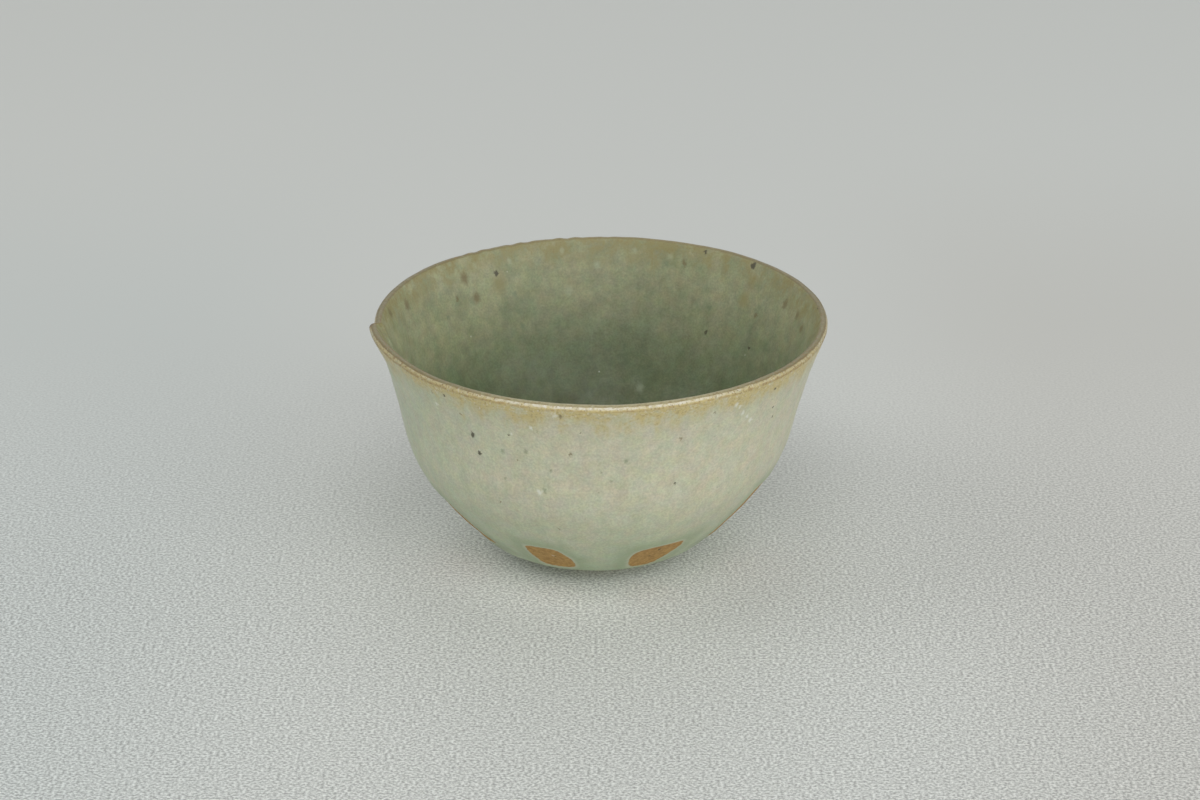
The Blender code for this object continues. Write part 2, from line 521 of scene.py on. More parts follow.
    def outline_distance(self, across: np.ndarray, corners: np.ndarray) -> np.ndarray:
        """Measures the points from an outline that bulges everywhere, its corners softened.

        Args:
            across: the points' places across it.
            corners: its corners in order, across and down.

        Returns:
            The distances, under 0 inside.
        """
        total = np.zeros(len(across))
        for start, end in zip(corners, np.roll(corners, -1, axis=0)):
            side = (end - start) / np.linalg.norm(end - start)
            outward = np.array((side[1], -side[0]))
            outward *= -np.sign(outward @ (corners.mean(0) - start))
            beyond = (across - start[0]) * outward[0] + (self.way - start[1]) * outward[1]
            total += np.exp(np.clip(beyond / self.corner_softness, *self.exponents))
        return np.log(total) * self.corner_softness

    def gather_at_break(self, normals: np.ndarray) -> None:
        """Draws the columns of points together where the lip is broken.

        Args:
            normals: the ways that the points face, turned with them.
        """
        offset = gap(self.azimuths, self.break_at)
        turn = -self.gather_pull * offset * (1.0 - ease(np.abs(offset) / self.gather_reach))
        self.azimuths = self.azimuths + turn
        c, s = np.cos(np.radians(turn)), np.sin(np.radians(turn))
        for rows in (self.places, normals):
            x, y = rows[:, 0] * c - rows[:, 1] * s, rows[:, 0] * s + rows[:, 1] * c
            rows[:, 0], rows[:, 1] = x, y

    def lip_flare(self) -> np.ndarray:
        """Finds how far the lip is pulled outwards, up to its broken step.

        Returns:
            The distances.
        """
        rise = ease((self.azimuths - self.flare_start) / (self.break_at - self.flare_start))
        past = ease((self.break_at - self.azimuths) / self.break_width + 0.5)
        near = ease(1.0 - (self.section.height - self.places[:, 2]) / self.flare_reach)
        return self.flare_out * rise * (1.0 - past) * near

    def rim_waves(self) -> np.ndarray:
        """Finds how far the lip dips below its plane, mostly at the back left.

        Returns:
            The depths.
        """
        turn = np.radians(self.azimuths)
        short, slow = [
            sum((share * np.sin(count * turn + start) for share, count, start in waves), 0.5)
            for waves in (self.short_waves, self.slow_waves)
        ]
        past = np.abs(gap(self.azimuths, self.short_middle))
        back = ease((self.short_reach - past) / self.short_fade)
        return self.short_depth * back * short + self.slow_depth * slow

    def mark_recess(self, bare: np.ndarray) -> np.ndarray:
        """Finds how deep the bare marks lie below the glaze that rolls round them.

        Args:
            bare: the points' distances from the bare marks.

        Returns:
            The depths, under 0 on a roll.
        """
        step = self.glaze_depth * ease((self.step_at - bare) / self.step_width)
        recess = step + self.dish_depth * ease(-bare / self.dish_width)
        recess -= self.roll_height * np.exp(-(((bare - self.roll_at) / self.roll_width) ** 2))
        above_foot = self.places[:, 2] > self.section.foot_height
        return np.where((self.way > self.marks_start) & above_foot, recess, 0.0)

    def move_rim(self) -> None:
        """Moves the wall, and most of all the rim, off the true turned form."""
        turn = np.radians(self.azimuths)
        up = self.places[:, 2] / self.section.height
        lobe = np.cos(np.radians(self.lobes * self.azimuths + self.oval_turn))
        outwards = self.ovality * lobe * up**2 + self.lip_flare()
        rise = self.rim_rise * np.cos(np.radians(self.azimuths - self.rim_highest)) * up**2
        rise -= self.rim_waves() * ease(1.0 - np.abs(self.way) / self.rim_reach)
        moves = (np.sin(turn) * outwards, -np.cos(turn) * outwards, rise)
        self.places += np.stack(moves, 1)

    def mark_by_hand(self) -> None:
        """Moves the points as the hands, the fingers and the kiln did, and notes where they are."""
        mesh = self.piece.data
        self.places = np.array([vertex.co for vertex in mesh.vertices], float)
        normals = np.array([normal.vector for normal in mesh.vertex_normals], float)
        x, y = self.places[:, 0], self.places[:, 1]
        self.radii, self.azimuths = np.hypot(x, y), np.degrees(np.arctan2(x, -y))
        self.read_way()
        self.gather_at_break(normals)
        bare = self.mark_distance()
        recess = self.mark_recess(bare)
        self.move_rim()
        self.places -= normals * recess[:, None]
        below = 1.0 - self.places[:, 2] / self.section.height
        self.places[:, 0] -= self.lean_left * below
        self.places[:, 1] -= self.lean_front * below
        mesh.vertices.foreach_set("co", self.places.astype(np.float32).ravel())
        mesh.update()
        past = np.abs(self.azimuths - self.break_at - self.chip_past)
        across = ease(self.chip_full - past / self.chip_width)
        down = ease(self.chip_full - np.abs(self.way - self.chip_way) / self.chip_height)
        for name, values in (("way_along", self.way), ("bare", bare), ("chip", across * down)):
            attribute = mesh.attributes.new(name, "FLOAT", "POINT")
            attribute.data.foreach_set("value", values.astype(np.float32))

    def on_surface(self, fleck: PlacedFleck) -> Vector:
        """Finds where a fleck's middle lies on the cup.

        Args:
            fleck: the fleck.

        Returns:
            Its place, in metres.
        """
        height = self.fleck_level - fleck.depth * MM
        points, along = self.section.path()
        side = fleck.side.value
        line = [point for point, way in zip(points, along) if way * side > self.fleck_clear]
        radius = min(line, key=lambda point: abs(point.y - height)).x
        turn = math.radians(fleck.azimuth)
        below = 1.0 - height / self.section.height
        guess = Vector((radius * math.sin(turn), -radius * math.cos(turn), height))
        guess -= Vector((self.lean_left * below, self.lean_front * below, 0.0))
        return self.piece.closest_point_on_mesh(guess)[1]

    def build(self) -> None:
        """Makes the whole cup."""
        self.throw()
        self.smooth_and_sag()
        self.mark_by_hand()
        bpy.ops.object.shade_smooth()
        mesh = self.piece.data
        log.info("cup: %d points, %d faces", len(mesh.vertices), len(mesh.polygons))

    def dress(self, glaze: "AshGlaze") -> None:
        """Glazes the cup, and puts it in its solid's place.

        Args:
            glaze: the glaze to lay on it.
        """
        places = [(fleck, self.on_surface(fleck)) for fleck in glaze.flecks]
        self.piece.data.materials.append(glaze.material(places))
        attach(self.piece, "root")
        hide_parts("cup")
        log.info("cup: glazed, rides on root and stands for the solid")


class NodeSheet:
    """Lays out the nodes of one material, whose places are in millimetres.

    A ramp holds its start and end, and its low and high if they aren't 0 and 1. A cloud holds its
    size, and its detail, roughness and shift if it has them. A mottle is a cloud read by a ramp. A
    drift holds how far noise pushes it, and a band its middle, and each of them its ramp.
    """

    def __init__(self, name: str) -> None:
        """Starts an empty sheet with the places on the object.

        Args:
            name: the material's name.
        """
        self.material = bpy.data.materials.new(name)
        self.material.use_nodes = True
        self.material.node_tree.nodes.clear()
        place = self.add("TexCoord", {}).outputs["Object"]
        self.grain = self.vector("MULTIPLY", place, (1.0 / MM,) * 3)
        axes = self.add("SeparateXYZ", {"Vector": self.grain}).outputs
        self.x, self.y = axes["X"], axes["Y"]

    def add(self, kind: str, inputs: dict, **settings: object) -> bpy.types.Node:
        """Adds a node.

        Args:
            kind: its type, without the ShaderNode before it.
            inputs: what goes into its sockets, a number, a colour or another socket.
            settings: its own settings.

        Returns:
            The node.
        """
        node = self.material.node_tree.nodes.new("ShaderNode" + kind)
        for name, value in settings.items():
            setattr(node, name, value)
        for name, value in inputs.items():
            socket = node.inputs[name]
            if isinstance(value, Socket):
                self.material.node_tree.links.new(value, socket)
            else:
                socket.default_value = (*value, 1.0) if socket.type == "RGBA" else value
        return node

    def math(self, operation: str, *values: object, clamp: bool = False) -> Socket:
        """The result of a sum on numbers or sockets."""
        inputs = dict(enumerate(values))
        return self.add("Math", inputs, operation=operation, use_clamp=clamp).outputs[0]

    def times(self, first: object, *others: object) -> Socket:
        """The product of numbers or sockets, one after the other."""
        return reduce(lambda product, other: self.math("MULTIPLY", product, other), others, first)

    def off(self, value: Socket, middle: float) -> Socket:
        """How far a value is from a middle."""
        return self.math("ABSOLUTE", self.math("SUBTRACT", value, middle))

    def near(self, value: Socket, band: Band) -> Socket:
        """A band along a value."""
        return self.fade(self.off(value, band[0]), band[1])

    def vector(self, operation: str, *values: object) -> Socket:
        """The vector that comes out of an operation on vectors."""
        return self.add("VectorMath", dict(enumerate(values)), operation=operation).outputs[0]

    def distance(self, place: Socket, middle: Place) -> Socket:
        """How far a place is from a middle."""
        node = self.add("VectorMath", {0: place, 1: middle}, operation="DISTANCE")
        return node.outputs["Value"]

    def fade(self, value: Socket, ramp: Ramp) -> Socket:
        """What a ramp says at a value."""
        inputs = dict(zip(RAMP_SOCKETS, (value, *ramp)))
        return self.add("MapRange", inputs, interpolation_type="SMOOTHSTEP").outputs[0]

    def noise(self, place: Socket, cloud: Cloud) -> Socket:
        """Cloudy noise laid out by places, about 0.5 in its middle."""
        values = (self.vector("ADD", place, (*cloud[3:], NOWHERE)[0]), 1.0 / cloud[0], *cloud[1:3])
        return self.add("TexNoise", dict(zip(CLOUD_SOCKETS, values))).outputs["Fac"]

    def mottle(self, mottle: Mottle, place: Socket | None = None) -> Socket:
        """Mottled noise, laid out by the object's own places or by others."""
        place = self.grain if place is None else place
        return self.fade(self.noise(place, mottle[0]), mottle[1])

    def pushed(self, noise: Socket, distance: Socket, drift: Drift) -> Socket:
        """A ramp along a distance that noise pushes."""
        return self.fade(self.math("MULTIPLY_ADD", noise, drift[0], distance), drift[1])

    def mix(self, share: object, first: object, second: object) -> Socket:
        """The second colour laid over the first by a share."""
        return self.add("Mix", {0: share, 6: first, 7: second}, data_type="RGBA").outputs[2]

    def finish(self, inputs: dict) -> bpy.types.Material:
        """Ends the sheet with its shader, and hands the material over."""
        self.add("OutputMaterial", {"Surface": self.add("BsdfPrincipled", inputs).outputs[0]})
        return self.material


@dataclass(frozen=True)
class AshGlaze:
    """A pale celadon ash glaze over a brown clay, running down the wall and thin on the lip."""

    cream: Colour = (0.52, 0.505, 0.378)
    celadon: Colour = (0.43, 0.485, 0.345)
    inside_rim: Colour = (0.29, 0.288, 0.174)
    inside_deep: Colour = (0.145, 0.18, 0.107)
    pool: Colour = (0.088, 0.1, 0.042)
    mossy: Colour = (0.167, 0.203, 0.119)
    halo_green: Colour = (0.29, 0.365, 0.215)
    ochre: Colour = (0.53, 0.445, 0.212)
    ochre_inside: Colour = (0.265, 0.24, 0.108)
    crest: Colour = (0.66, 0.63, 0.53)
    lip_top: Colour = (0.365, 0.33, 0.2)
    lip_back: Colour = (0.215, 0.185, 0.095)
    tan: Colour = (0.4, 0.285, 0.13)
    iron: Colour = (0.235, 0.165, 0.075)
    clay: Colour = (0.5, 0.315, 0.115)
    clay_dark: Colour = (0.29, 0.16, 0.055)
    broken: Colour = (0.2, 0.165, 0.115)
    warm_tint: Colour = (1.028, 1.0, 0.962)
    cool_tint: Colour = (0.976, 1.0, 1.034)
    green_tint: Colour = (0.958, 1.022, 0.965)
    pink_tint: Colour = (1.024, 0.988, 1.008)
    dark_fleck: Colour = (0.075, 0.068, 0.045)
    brown_fleck: Colour = (0.168, 0.13, 0.062)
    green_fleck: Colour = (0.15, 0.195, 0.12)
    white_fleck_and_glint: Colour = (0.74, 0.75, 0.68)

    # The places that the glaze ran by, the lines' wandering, the lip's front, where its painted
    # highlight lies, and the middle of that highlight
    level: Place = (1.0, 1.0, 0.0)
    round_scale: Place = (40.0, 40.0, 0.0)
    run_length: float = 0.16
    wander: Cloud = (2.0,)
    wander_push: float = 0.5
    front: Ramp = (4.0, -3.6)
    brightest: float = 2.0

    # Where the outside gets greener, downwards and to the left, and the inside darker
    drifting: Cloud = (12.0, 3.0)
    low: Drift = (26.0, (20.0, 50.0))
    left: Ramp = (-10.0, -44.0)
    left_share: float = 0.55
    deep: Drift = (16.0, (-6.0, -34.0))
    deepest: Drift = (12.0, (-19.0, -37.0))
    outward: Ramp = (0.45, 0.85)
    # Painted light on the inside: lighter towards its sides, and lighter at the left than at the
    # right
    side_light: Ramp = (8.0, 36.0, 1.0, 1.15)
    left_light: Ramp = (-36.0, 34.0, 1.06, 0.94)

    # The mottling of the inside, and the tints and shades of the whole glaze
    blotches: Mottle = ((5.0, 4.0, 0.6, (3.0, 11.0, 27.0)), (0.36, 0.66, 0.08, 0.48))
    pale: Mottle = ((3.2, 4.0, 0.6, (41.0, 7.0, 2.0)), (0.32, 0.68, 0.94, 1.09))
    warm: Mottle = ((2.6, 4.0, 0.65, (17.0, 3.0, 9.0)), (0.32, 0.68))
    leafy: Mottle = ((3.0, 4.0, 0.72, (-5.0, 31.0, 4.0)), (0.34, 0.66))
    shades: Mottle = ((2.4, 4.0, 0.6), (0.3, 0.7, 0.945, 1.055))
    fine_shades: Mottle = ((0.42, 4.0, 0.6), (0.3, 0.7, 0.892, 1.108))
    runs: Mottle = ((1.7, 4.0, 0.55), (0.3, 0.7, 0.968, 1.032))

    # The glaze that pooled round the bare marks, and its edge
    pools: tuple[tuple[Cloud, Drift, Colour], ...] = (
        ((3.0,), (2.4, (5.8, 1.8, 0.0, 0.62)), halo_green),
        ((2.2,), (1.4, (1.6, 0.6, 0.0, 0.4)), crest),
    )

    # The ochre band: how its drips reach down, its patches, its grit and its pale salt
    drips: Cloud = (2.6, 3.0, 0.6)
    drip_length: float = 12.0
    drip_start: float = -0.8
    drip_edge: Ramp = (2.8, -3.0)
    patches: Mottle = ((2.6, 4.0, 0.65), (0.34, 0.6, 0.14, 0.94))
    close: Band = (1.6, (3.6, 0.8, 0.0, 0.24))
    grit: Mottle = ((0.45,), (0.5, 0.66, 0.0, 0.38))
    salt: Mottle = ((0.5, 2.0, 0.5, (9.0, 5.0, 1.0)), (0.54, 0.7, 0.0, 0.5))
    salty: Band = (1.6, (2.4, 1.0))

    # The lip's top, painted lighter at its highlight and darker away from it, and the pale painted
    # highlight line along its crest
    uneven: Mottle = ((0.9, 3.0, 0.65), (0.3, 0.55, 0.35, 0.9))
    top: Band = (0.15, (0.8, 0.45))
    top_shade_away: Ramp = (12.0, 34.0, 0.0, 0.85)
    highlight_patches: Mottle = ((1.0, 4.0, 0.75), (0.38, 0.6, 0.12, 0.95))
    highlight_away: Ramp = (30.0, 10.0, 0.14, 1.0)
    highlight_line: Band = (1.0, (0.4, 0.16))

    # The ragged thin lines along the lip, by way, width and colour, and their full share
    ragged_scale: Place = (1.0, 1.0, 2.0)
    ragged: Mottle = ((1.5, 4.0, 0.65), (0.4, 0.6, 0.08, 0.85))
    # The lines show less in the lip's painted highlight
    ragged_away: Ramp = (8.0, 34.0, 0.75, 1.1)
    line_core: float = 0.3
    lines: tuple[tuple[float, float, Colour], ...] = (
        (1.62, 0.36, tan),
        (0.52, 0.2, iron),
        (-0.35, 0.24, iron),
    )

    # The back of the lip, and the pepper and the painted shade of the whole lip away from its
    # highlight
    back: Band = (0.25, (1.2, 0.75, 0.0, 0.95))
    pepper: Mottle = ((0.42, 2.0, 0.5, (5.0, 1.0, 8.0)), (0.55, 0.68, 0.0, 0.55))
    # The pepper shows more away from the lip's painted highlight
    pepper_away: Ramp = (8.0, 32.0, 1.0, 1.7)
    on_lip: Band = (0.6, (1.6, 0.9))
    lip_shade_away: Ramp = (12.0, 36.0, 0.0, 0.2)

    # The fine flecks all over, by colour, spacing, radius, chance of none and strength
    scatter: tuple[tuple[Colour, float, float, float, float], ...] = (
        (brown_fleck, 4.6, 0.2, 0.8, 0.55),
        (green_fleck, 2.4, 0.22, 0.6, 0.32),
        (white_fleck_and_glint, 3.7, 0.22, 0.8, 0.4),
        (dark_fleck, 5.3, 0.14, 0.6, 0.7),
    )
    fleck_core: float = 0.4
    chance_step: float = 0.02

    # The placed flecks: how ragged and flat they are, how each kind fades by shares of its
    # radius, and where they are
    ragged_grain: float = 1.7
    ragged_detail: float = 3.0
    ragged_reach: float = 1.3
    flatness: Place = (1.0, 1.0, 0.72)
    looks: tuple[tuple[Fleck, Colour, Ramp], ...] = (
        (Fleck.CLOUD, celadon, (1.7, 0.2, 0.0, 0.3)),
        (Fleck.STAIN, ochre_inside, (1.8, 0.2, 0.0, 0.75)),
        (Fleck.GREEN, green_fleck, (1.6, 0.3, 0.0, 0.5)),
        (Fleck.BROWN, brown_fleck, (1.6, 0.3, 0.0, 0.72)),
        (Fleck.DARK, dark_fleck, (1.35, 0.6, 0.0, 0.9)),
        # White flecks, and the painted glints among them
        (Fleck.WHITE, white_fleck_and_glint, (1.5, 0.2, 0.0, 0.66)),
    )
    flecks: tuple[PlacedFleck, ...] = FLECKS

    # The bare clay of the marks, of the broken face and of the foot
    clay_cloud: Cloud = (0.9, 4.0, 0.7)
    clay_patches: Ramp = (0.36, 0.66, 0.0, 0.75)
    pore_scale: float = 1.1
    pores: Ramp = (0.14, 0.06, 0.0, 0.6)
    clay_wander: Cloud = (1.1, 3.0)
    clay_push: float = 0.5
    clay_edge: Ramp = (0.12, -0.12)
    foot_start: Ramp = (58.4, 58.9)
    foot_end: Ramp = (63.6, 63.2)
    torn: Drift = (0.5, (0.7, 0.95))

    # The sheen, and the relief with its heights in millimetres
    sheen: Mottle = ((1.2, 3.0), (0.3, 0.7, 0.3, 0.46))
    clay_roughness: float = 0.85
    waves: tuple[Cloud, float] = ((1.3, 3.0), 0.07)
    sugar: tuple[Cloud, float] = ((0.35,), 0.012)
    clay_grain: tuple[Cloud, float] = ((0.3, 4.0, 0.7), 0.09)

    def material(self, places: list[tuple[PlacedFleck, Vector]]) -> bpy.types.Material:
        """The glaze's material, given each fleck with its place on the cup."""
        return GlazeSheet("ash_glaze_fired", self).lay(places)


class GlazeSheet(NodeSheet):
    """The sheet that the glaze is laid on, layer by layer, with the numbers that the cup carries.

    The glaze ran along running, line_way is the way of lines that wander, front is 1 at the front
    of the lip, where its painted highlight lies, and 0 at its back, and away is the distance from
    the middle of that painted highlight.
    """

    def __init__(self, name: str, look: AshGlaze) -> None:
        """Starts the sheet.

        Args:
            name: the material's name.
            look: the glaze.
        """
        super().__init__(name)
        self.look = look
        self.way, self.bare, self.chip = [
            self.add("Attribute", {}, attribute_name=number).outputs["Fac"]
            for number in ("way_along", "bare", "chip")
        ]
        level = self.vector("NORMALIZE", self.vector("MULTIPLY", self.grain, look.level))
        down = {"X": 0.0, "Y": 0.0, "Z": self.times(self.way, look.run_length)}
        down = self.add("CombineXYZ", down).outputs[0]
        self.running = self.vector("ADD", self.vector("MULTIPLY", level, look.round_scale), down)
        wobble = self.wandering(look.wander, look.wander_push)
        self.line_way = self.math("ADD", self.way, wobble)
        self.front = self.fade(self.y, look.front)
        # away is measured from the middle of the lip's painted highlight
        self.away = self.off(self.x, look.brightest)

    def wandering(self, cloud: Cloud, push: float) -> Socket:
        """Noise that pushes a line to both its sides."""
        return self.math("MULTIPLY_ADD", self.noise(self.grain, cloud), push, -push / 2.0)

    def over(self, share: Socket, tint: object) -> None:
        """Lays a colour over the glaze by a share."""
        self.colour = self.mix(share, self.colour, tint)

    def shade(self, shade: Socket) -> None:
        """Makes the glaze lighter or darker."""
        grey = self.add("CombineXYZ", {"X": shade, "Y": shade, "Z": shade}).outputs[0]
        self.colour = self.vector("MULTIPLY", self.colour, grey)

    def lay(self, places: list[tuple[PlacedFleck, Vector]]) -> bpy.types.Material:
        """Lays all the layers.

        Args:
            places: each fleck with its place on the cup.

        Returns:
            The material.
        """
        for layer in (self.body, self.pooled, self.banded, self.lip_top, self.lip_back):
            layer()
        self.scattered()
        clay, share = self.bare_clay()
        self.over(share, clay)
        self.placed(places)
        sheen = {0: share, 2: self.mottle(self.look.sheen), 3: self.look.clay_roughness}
        inputs = {
            "Base Color": self.colour,
            "Roughness": self.add("Mix", sheen, data_type="FLOAT").outputs[0],
            "Normal": self.relief(share),
            "Metallic": 0.0,
            "Specular IOR Level": 0.28,
        }
        return self.finish(inputs)

    def body(self) -> None:
        """Lays the wall's glaze, cream above and greener below, and dark at the bottom inside."""
        look = self.look
        clouds = self.math("SUBTRACT", self.noise(self.grain, look.drifting), 0.5)
        left = self.fade(self.x, look.left)
        low = self.pushed(clouds, self.way, look.low)
        greener = self.math("MULTIPLY_ADD", left, look.left_share, low, clamp=True)
        outside = self.mix(greener, look.cream, look.celadon)
        deep = self.pushed(clouds, self.way, look.deep)
        self.colour = self.mix(deep, look.inside_rim, look.inside_deep)
        self.over(self.pushed(clouds, self.way, look.deepest), look.pool)
        # Painted light: the inside lighter at its sides and at the left
        self.shade(self.fade(self.math("ABSOLUTE", self.x), look.side_light))
        self.shade(self.fade(self.x, look.left_light))
        self.over(self.mottle(look.blotches), look.mossy)
        self.shade(self.mottle(look.pale))
        self.over(self.fade(self.way, look.outward), outside)
        for mottle, *tints in (
            (look.warm, look.cool_tint, look.warm_tint),
            (look.leafy, look.pink_tint, look.green_tint),
        ):
            tint = self.mix(self.mottle(mottle), *tints)
            self.colour = self.vector("MULTIPLY", self.colour, tint)
        self.shade(self.mottle(look.shades))
        self.shade(self.mottle(look.fine_shades))
        self.shade(self.mottle(look.runs, self.running))

    def pooled(self) -> None:
        """Lays the green glaze that pooled round the bare marks, and its thin pale edge."""
        for cloud, drift, tint in self.look.pools:
            self.over(self.pushed(self.noise(self.grain, cloud), self.bare, drift), tint)

    def banded(self) -> None:
        """Lays the ochre band under the lip, with its drips, its grit and its pale salt."""
        look = self.look
        drips = self.noise(self.running, look.drips)
        reach = self.math("MULTIPLY_ADD", drips, look.drip_length, look.drip_start)
        past = self.math("SUBTRACT", self.math("ABSOLUTE", self.way), reach)
        share = self.times(self.fade(past, look.drip_edge), self.mottle(look.patches))
        share = self.math("ADD", share, self.near(self.way, look.close), clamp=True)
        self.over(share, self.mix(self.fade(self.way, look.outward), look.ochre_inside, look.ochre))
        self.over(self.times(share, self.mottle(look.grit)), look.iron)
        salty = self.near(self.way, look.salty)
        self.over(self.times(salty, self.mottle(look.salt)), look.crest)

    def lip_top(self) -> None:
        """Lays the lip's top with its painted highlight and shade, and its thin brown lines."""
        look = self.look
        # The lip's top at the front, lighter in its painted highlight and painted darker away from
        # it
        top = self.near(self.line_way, look.top)
        painted_lip_shade = self.mix(self.fade(self.away, look.top_shade_away), look.lip_top, look.lip_back)
        self.over(self.times(top, self.mottle(look.uneven), self.front), painted_lip_shade)
        # The pale line along the crest is a painted highlight
        highlight_patches = self.times(self.mottle(look.highlight_patches), self.fade(self.away, look.highlight_away))
        line = self.near(self.line_way, look.highlight_line)
        self.over(self.times(line, highlight_patches, self.front), look.crest)
        ragged = self.mottle(look.ragged, self.vector("MULTIPLY", self.grain, look.ragged_scale))
        ragged = self.times(ragged, self.fade(self.away, look.ragged_away))
        for way, width, tint in look.lines:
            line = self.near(self.line_way, (way, (width, width * look.line_core)))
            self.over(self.times(line, ragged), tint)

    def lip_back(self) -> None:
        """Lays the lip's back, the pepper all along it, and painted shade away from its highlight.
        """
        look = self.look
        back = self.near(self.line_way, look.back)
        behind = self.math("SUBTRACT", 1.0, self.front)
        self.over(self.times(back, self.mottle(look.uneven), behind), look.lip_back)
        # Painted shade on the lip away from its highlight
        lip = self.near(self.way, look.on_lip)
        painted_lip_shade = self.times(lip, self.fade(self.away, look.lip_shade_away))
        self.shade(self.math("SUBTRACT", 1.0, painted_lip_shade))
        lip = self.times(lip, self.fade(self.away, look.pepper_away))
        self.over(self.times(lip, self.mottle(look.pepper)), look.iron)

    def cells(self, place: Socket, scale: float) -> bpy.types.NodeOutputs:
        """What comes out of a field of cells."""
        inputs = {"Vector": place, "Scale": scale, "Randomness": 1.0}
        return self.add("TexVoronoi", inputs).outputs

    def scattered(self) -> None:
        """Strews fine flecks of iron and ash all over the glaze."""
        look = self.look
        for tint, size, radius, chance, strength in look.scatter:
            place = self.vector("ADD", self.grain, (size, 2.0 * size, 0.0))
            cells = self.cells(place, 1.0 / size)
            ramp = (radius / size, look.fleck_core * radius / size)
            luck = self.add("SeparateXYZ", {"Vector": cells["Color"]}).outputs["X"]
            picked = self.fade(luck, (chance, chance + look.chance_step))
            self.over(self.times(self.fade(cells["Distance"], ramp), picked, strength), tint)

    def bare_clay(self) -> tuple[Socket, Socket]:
        """Mixes the bare clay of the finger marks, the broken lip and the foot.

        Returns:
            Its colour, and the share of bare clay.
        """
        look = self.look
        fine = self.noise(self.grain, look.clay_cloud)
        clay = self.mix(self.fade(fine, look.clay_patches), look.clay, look.clay_dark)
        pores = self.fade(self.cells(self.grain, look.pore_scale)["Distance"], look.pores)
        clay = self.mix(pores, clay, look.clay_dark)
        edge = self.math("ADD", self.bare, self.wandering(look.clay_wander, look.clay_push))
        torn = self.pushed(fine, self.chip, look.torn)
        foot = self.times(self.fade(self.way, look.foot_start), self.fade(self.way, look.foot_end))
        share = self.math("MAXIMUM", self.fade(edge, look.clay_edge), torn)
        return self.mix(torn, clay, look.broken), self.math("MAXIMUM", share, foot)

    def placed(self, places: list[tuple[PlacedFleck, Vector]]) -> None:
        """Lays the single flecks and pits, one by one, with the painted glints among the white
        ones.

        Args:
            places: each fleck with its place on the cup.
        """
        look = self.look
        inputs = {"Vector": self.grain, "Scale": look.ragged_grain, "Detail": look.ragged_detail}
        jitter = self.add("TexNoise", inputs).outputs["Color"]
        jitter = self.vector("SUBTRACT", jitter, (0.5,) * 3)
        jitter = self.vector("MULTIPLY", jitter, (look.ragged_reach,) * 3)
        ragged = self.vector("MULTIPLY", self.vector("ADD", self.grain, jitter), look.flatness)
        for kind, tint, ramp in look.looks:
            shares = []
            for fleck, place in places:
                if fleck.kind is kind:
                    middle = tuple(part * flat / MM for part, flat in zip(place, look.flatness))
                    away = self.distance(ragged, middle)
                    shares.append(self.math("DIVIDE", away, fleck.radius))
            nearest = reduce(lambda first, other: self.math("MINIMUM", first, other), shares)
            self.over(self.fade(nearest, ramp), tint)

    def relief(self, clay_share: Socket) -> Socket:
        """Presses in the fine relief of the glaze and of the clay.

        Args:
            clay_share: the share of bare clay.

        Returns:
            The way that the surface faces.
        """
        cloud, height = self.look.clay_grain
        rough = (cloud, self.times(clay_share, height))
        waves, sugar, rough = [
            self.times(self.noise(self.grain, cloud), height)
            for cloud, height in (self.look.waves, self.look.sugar, rough)
        ]
        height = self.math("ADD", self.math("ADD", waves, sugar), rough)
        inputs = {"Height": height, "Strength": 1.0, "Distance": MM}
        return self.add("Bump", inputs).outputs["Normal"]


@dataclass(frozen=True)
class PaleFloor:
    """The plain pale ground, with painted shadow at its sides, warmer at the right, painted light
    at the cup's foot, and a fine grain near the cup painted darker in its creases.
    """

    colour: Colour = (0.54, 0.553, 0.524)
    # The grain's creases in painted shade and its ridges in painted light
    creased_painted_shade: Colour = (0.335, 0.343, 0.325)
    raised_painted_light: Colour = (0.78, 0.799, 0.758)
    # Painted shadow at the cup's sides, darker and a little cooler at the left, darker and warmer
    # at the right
    left_painted_shadow: Colour = (0.93, 0.952, 0.962)
    right_painted_shadow: Colour = (0.925, 0.905, 0.892)
    foot_painted_light: Colour = (1.45, 1.43, 1.45)
    roughness: float = 0.62
    stretch: Place = (0.8, 1.0, 1.0)
    fibres: Mottle = ((0.47, 2.5, 0.6), (0.3, 0.7))
    near: Ramp = (120.0, -50.0)
    close: Ramp = (260.0, 90.0)
    sides: tuple[tuple[float, Colour], ...] = ((-105.0, left_painted_shadow), (105.0, right_painted_shadow))
    side_start: float = 0.36
    # Where the painted light round the cup's foot is centred and how far it reaches
    foot_middle: Place = (-1.0, -2.0, 0.0)
    foot_reach: Ramp = (44.0, 12.0)
    relief: float = 0.35

    def material(self) -> bpy.types.Material:
        """Lays the ground's finish out.

        Returns:
            The material.
        """
        sheet = NodeSheet("pale_floor")
        place = sheet.vector("MULTIPLY", sheet.grain, self.stretch)
        fibres = sheet.noise(place, self.fibres[0])
        near = sheet.fade(sheet.y, self.near)
        # Painted shade in the grain's creases and painted light on its ridges, from the noise of
        # its relief
        shaded_grain = sheet.mix(sheet.fade(fibres, self.fibres[1]), self.creased_painted_shade, self.raised_painted_light)
        colour = sheet.mix(near, self.colour, shaded_grain)
        close = sheet.fade(sheet.y, self.close)
        # Painted shadow on the ground at the cup's sides
        for end, tint in self.sides:
            aside = sheet.times(close, sheet.fade(sheet.x, (end * self.side_start, end)))
            colour = sheet.mix(aside, colour, sheet.vector("MULTIPLY", colour, tint))
        # Painted light round the cup's foot, which lightens its contact shadow
        foot = sheet.fade(sheet.distance(sheet.grain, self.foot_middle), self.foot_reach)
        colour = sheet.mix(foot, colour, sheet.vector("MULTIPLY", colour, self.foot_painted_light))
        height = {"Height": sheet.times(fibres, near), "Strength": 1.0}
        bump = sheet.add("Bump", {**height, "Distance": self.relief * MM}).outputs[0]
        inputs = {"Base Color": colour, "Roughness": self.roughness, "Normal": bump}
        return sheet.finish(inputs)


class SoftLight(NamedTuple):
    """One soft square light that looks at the cup."""

    name: str
    place: Place
    size: float
    power: float
    colour: Colour = (1.0, 1.0, 1.0)


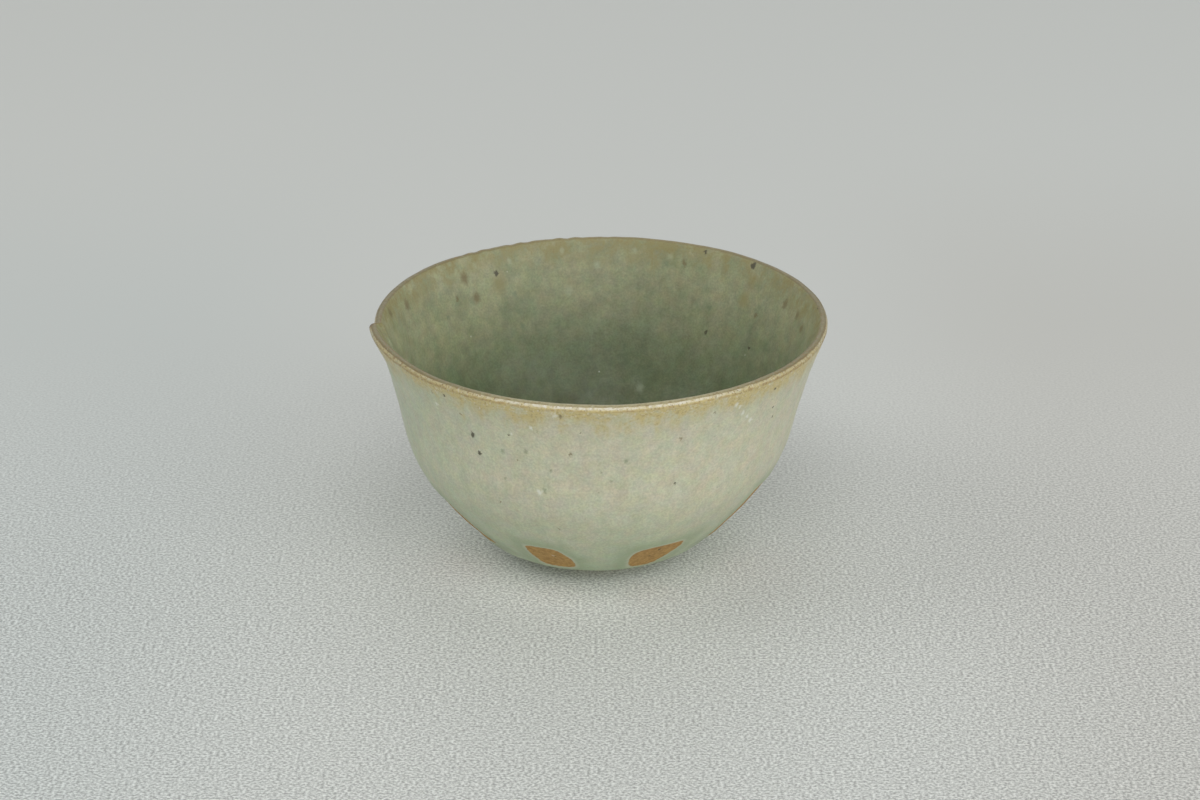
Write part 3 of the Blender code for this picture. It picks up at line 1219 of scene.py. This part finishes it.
@dataclass
class Studio:
    """The ground, the soft light and the camera."""

    floor_size: float = 6.0
    camera_place: Place = (-0.000135, -0.50505, 0.2498)
    camera_pitch: float = 66.344
    lens: float = 85.0
    sensor: float = 36.0
    nearest: float = 0.01
    aim: Place = (0.0, 0.0, 0.02)
    sky: Colour = (0.97, 0.985, 1.0)
    sky_strength: float = 0.506
    lights: tuple[SoftLight, ...] = (
        SoftLight("front_high", (0.0, -0.9, 1.35), 1.0, 6.4),
        SoftLight("front_floor", (0.0, -1.2, 0.3), 0.8, 3.0),
        SoftLight("front_right", (1.0, -1.0, 0.9), 0.9, 4.2),
        SoftLight("right_low", (1.2, -0.6, 0.35), 0.8, 1.6),
        SoftLight("right_floor", (1.2, 0.2, 0.3), 0.8, 2.0),
        SoftLight("left", (-1.2, -0.1, 1.1), 0.8, 4.0),
        SoftLight("back", (0.0, 1.3, 1.1), 1.0, 2.6),
    )

    def lay_floor(self, finish: PaleFloor) -> None:
        """Lays the ground that the cup stands on.

        Args:
            finish: its finish.
        """
        bpy.ops.mesh.primitive_plane_add(size=self.floor_size)
        floor = bpy.context.object
        floor.name = "floor"
        floor.data.materials.append(finish.material())

    def light(self) -> None:
        """Lights the cup softly from all round, most of it from in front."""
        world = bpy.data.worlds.new("soft_sky")
        world.use_nodes = True
        sky = world.node_tree.nodes["Background"]
        sky.inputs["Color"].default_value = (*self.sky, 1.0)
        sky.inputs["Strength"].default_value = self.sky_strength
        bpy.context.scene.world = world
        for soft in self.lights:
            bpy.ops.object.light_add(type="AREA", location=soft.place)
            light = bpy.context.object
            light.name = soft.name
            light.data.shape = "SQUARE"
            light.data.size = soft.size
            light.data.energy = soft.power
            light.data.color = soft.colour
            facing = Vector(self.aim) - light.location
            light.rotation_euler = facing.to_track_quat("-Z", "Y").to_euler()

    def place_camera(self) -> None:
        """Looks at the cup from where the picture was taken."""
        turn = (math.radians(self.camera_pitch), 0.0, 0.0)
        bpy.ops.object.camera_add(location=self.camera_place, rotation=turn)
        camera = bpy.context.object
        camera.data.lens = self.lens
        camera.data.sensor_width = self.sensor
        camera.data.clip_start = self.nearest
        bpy.context.scene.camera = camera
        bpy.context.scene.view_settings.view_transform = "Standard"

    def build(self) -> None:
        """Sets the whole studio up."""
        self.lay_floor(PaleFloor())
        self.light()
        self.place_camera()
        log.info("studio: floor, sky, %d lights and the camera", len(self.lights))


def main() -> None:
    """Builds the cup and its studio, in order."""
    logging.basicConfig(level=logging.INFO, format="%(name)s: %(message)s")
    cup = ThrownCup()
    cup.build()
    cup.dress(AshGlaze())
    Studio().build()


if __name__ == "__main__":
    main()
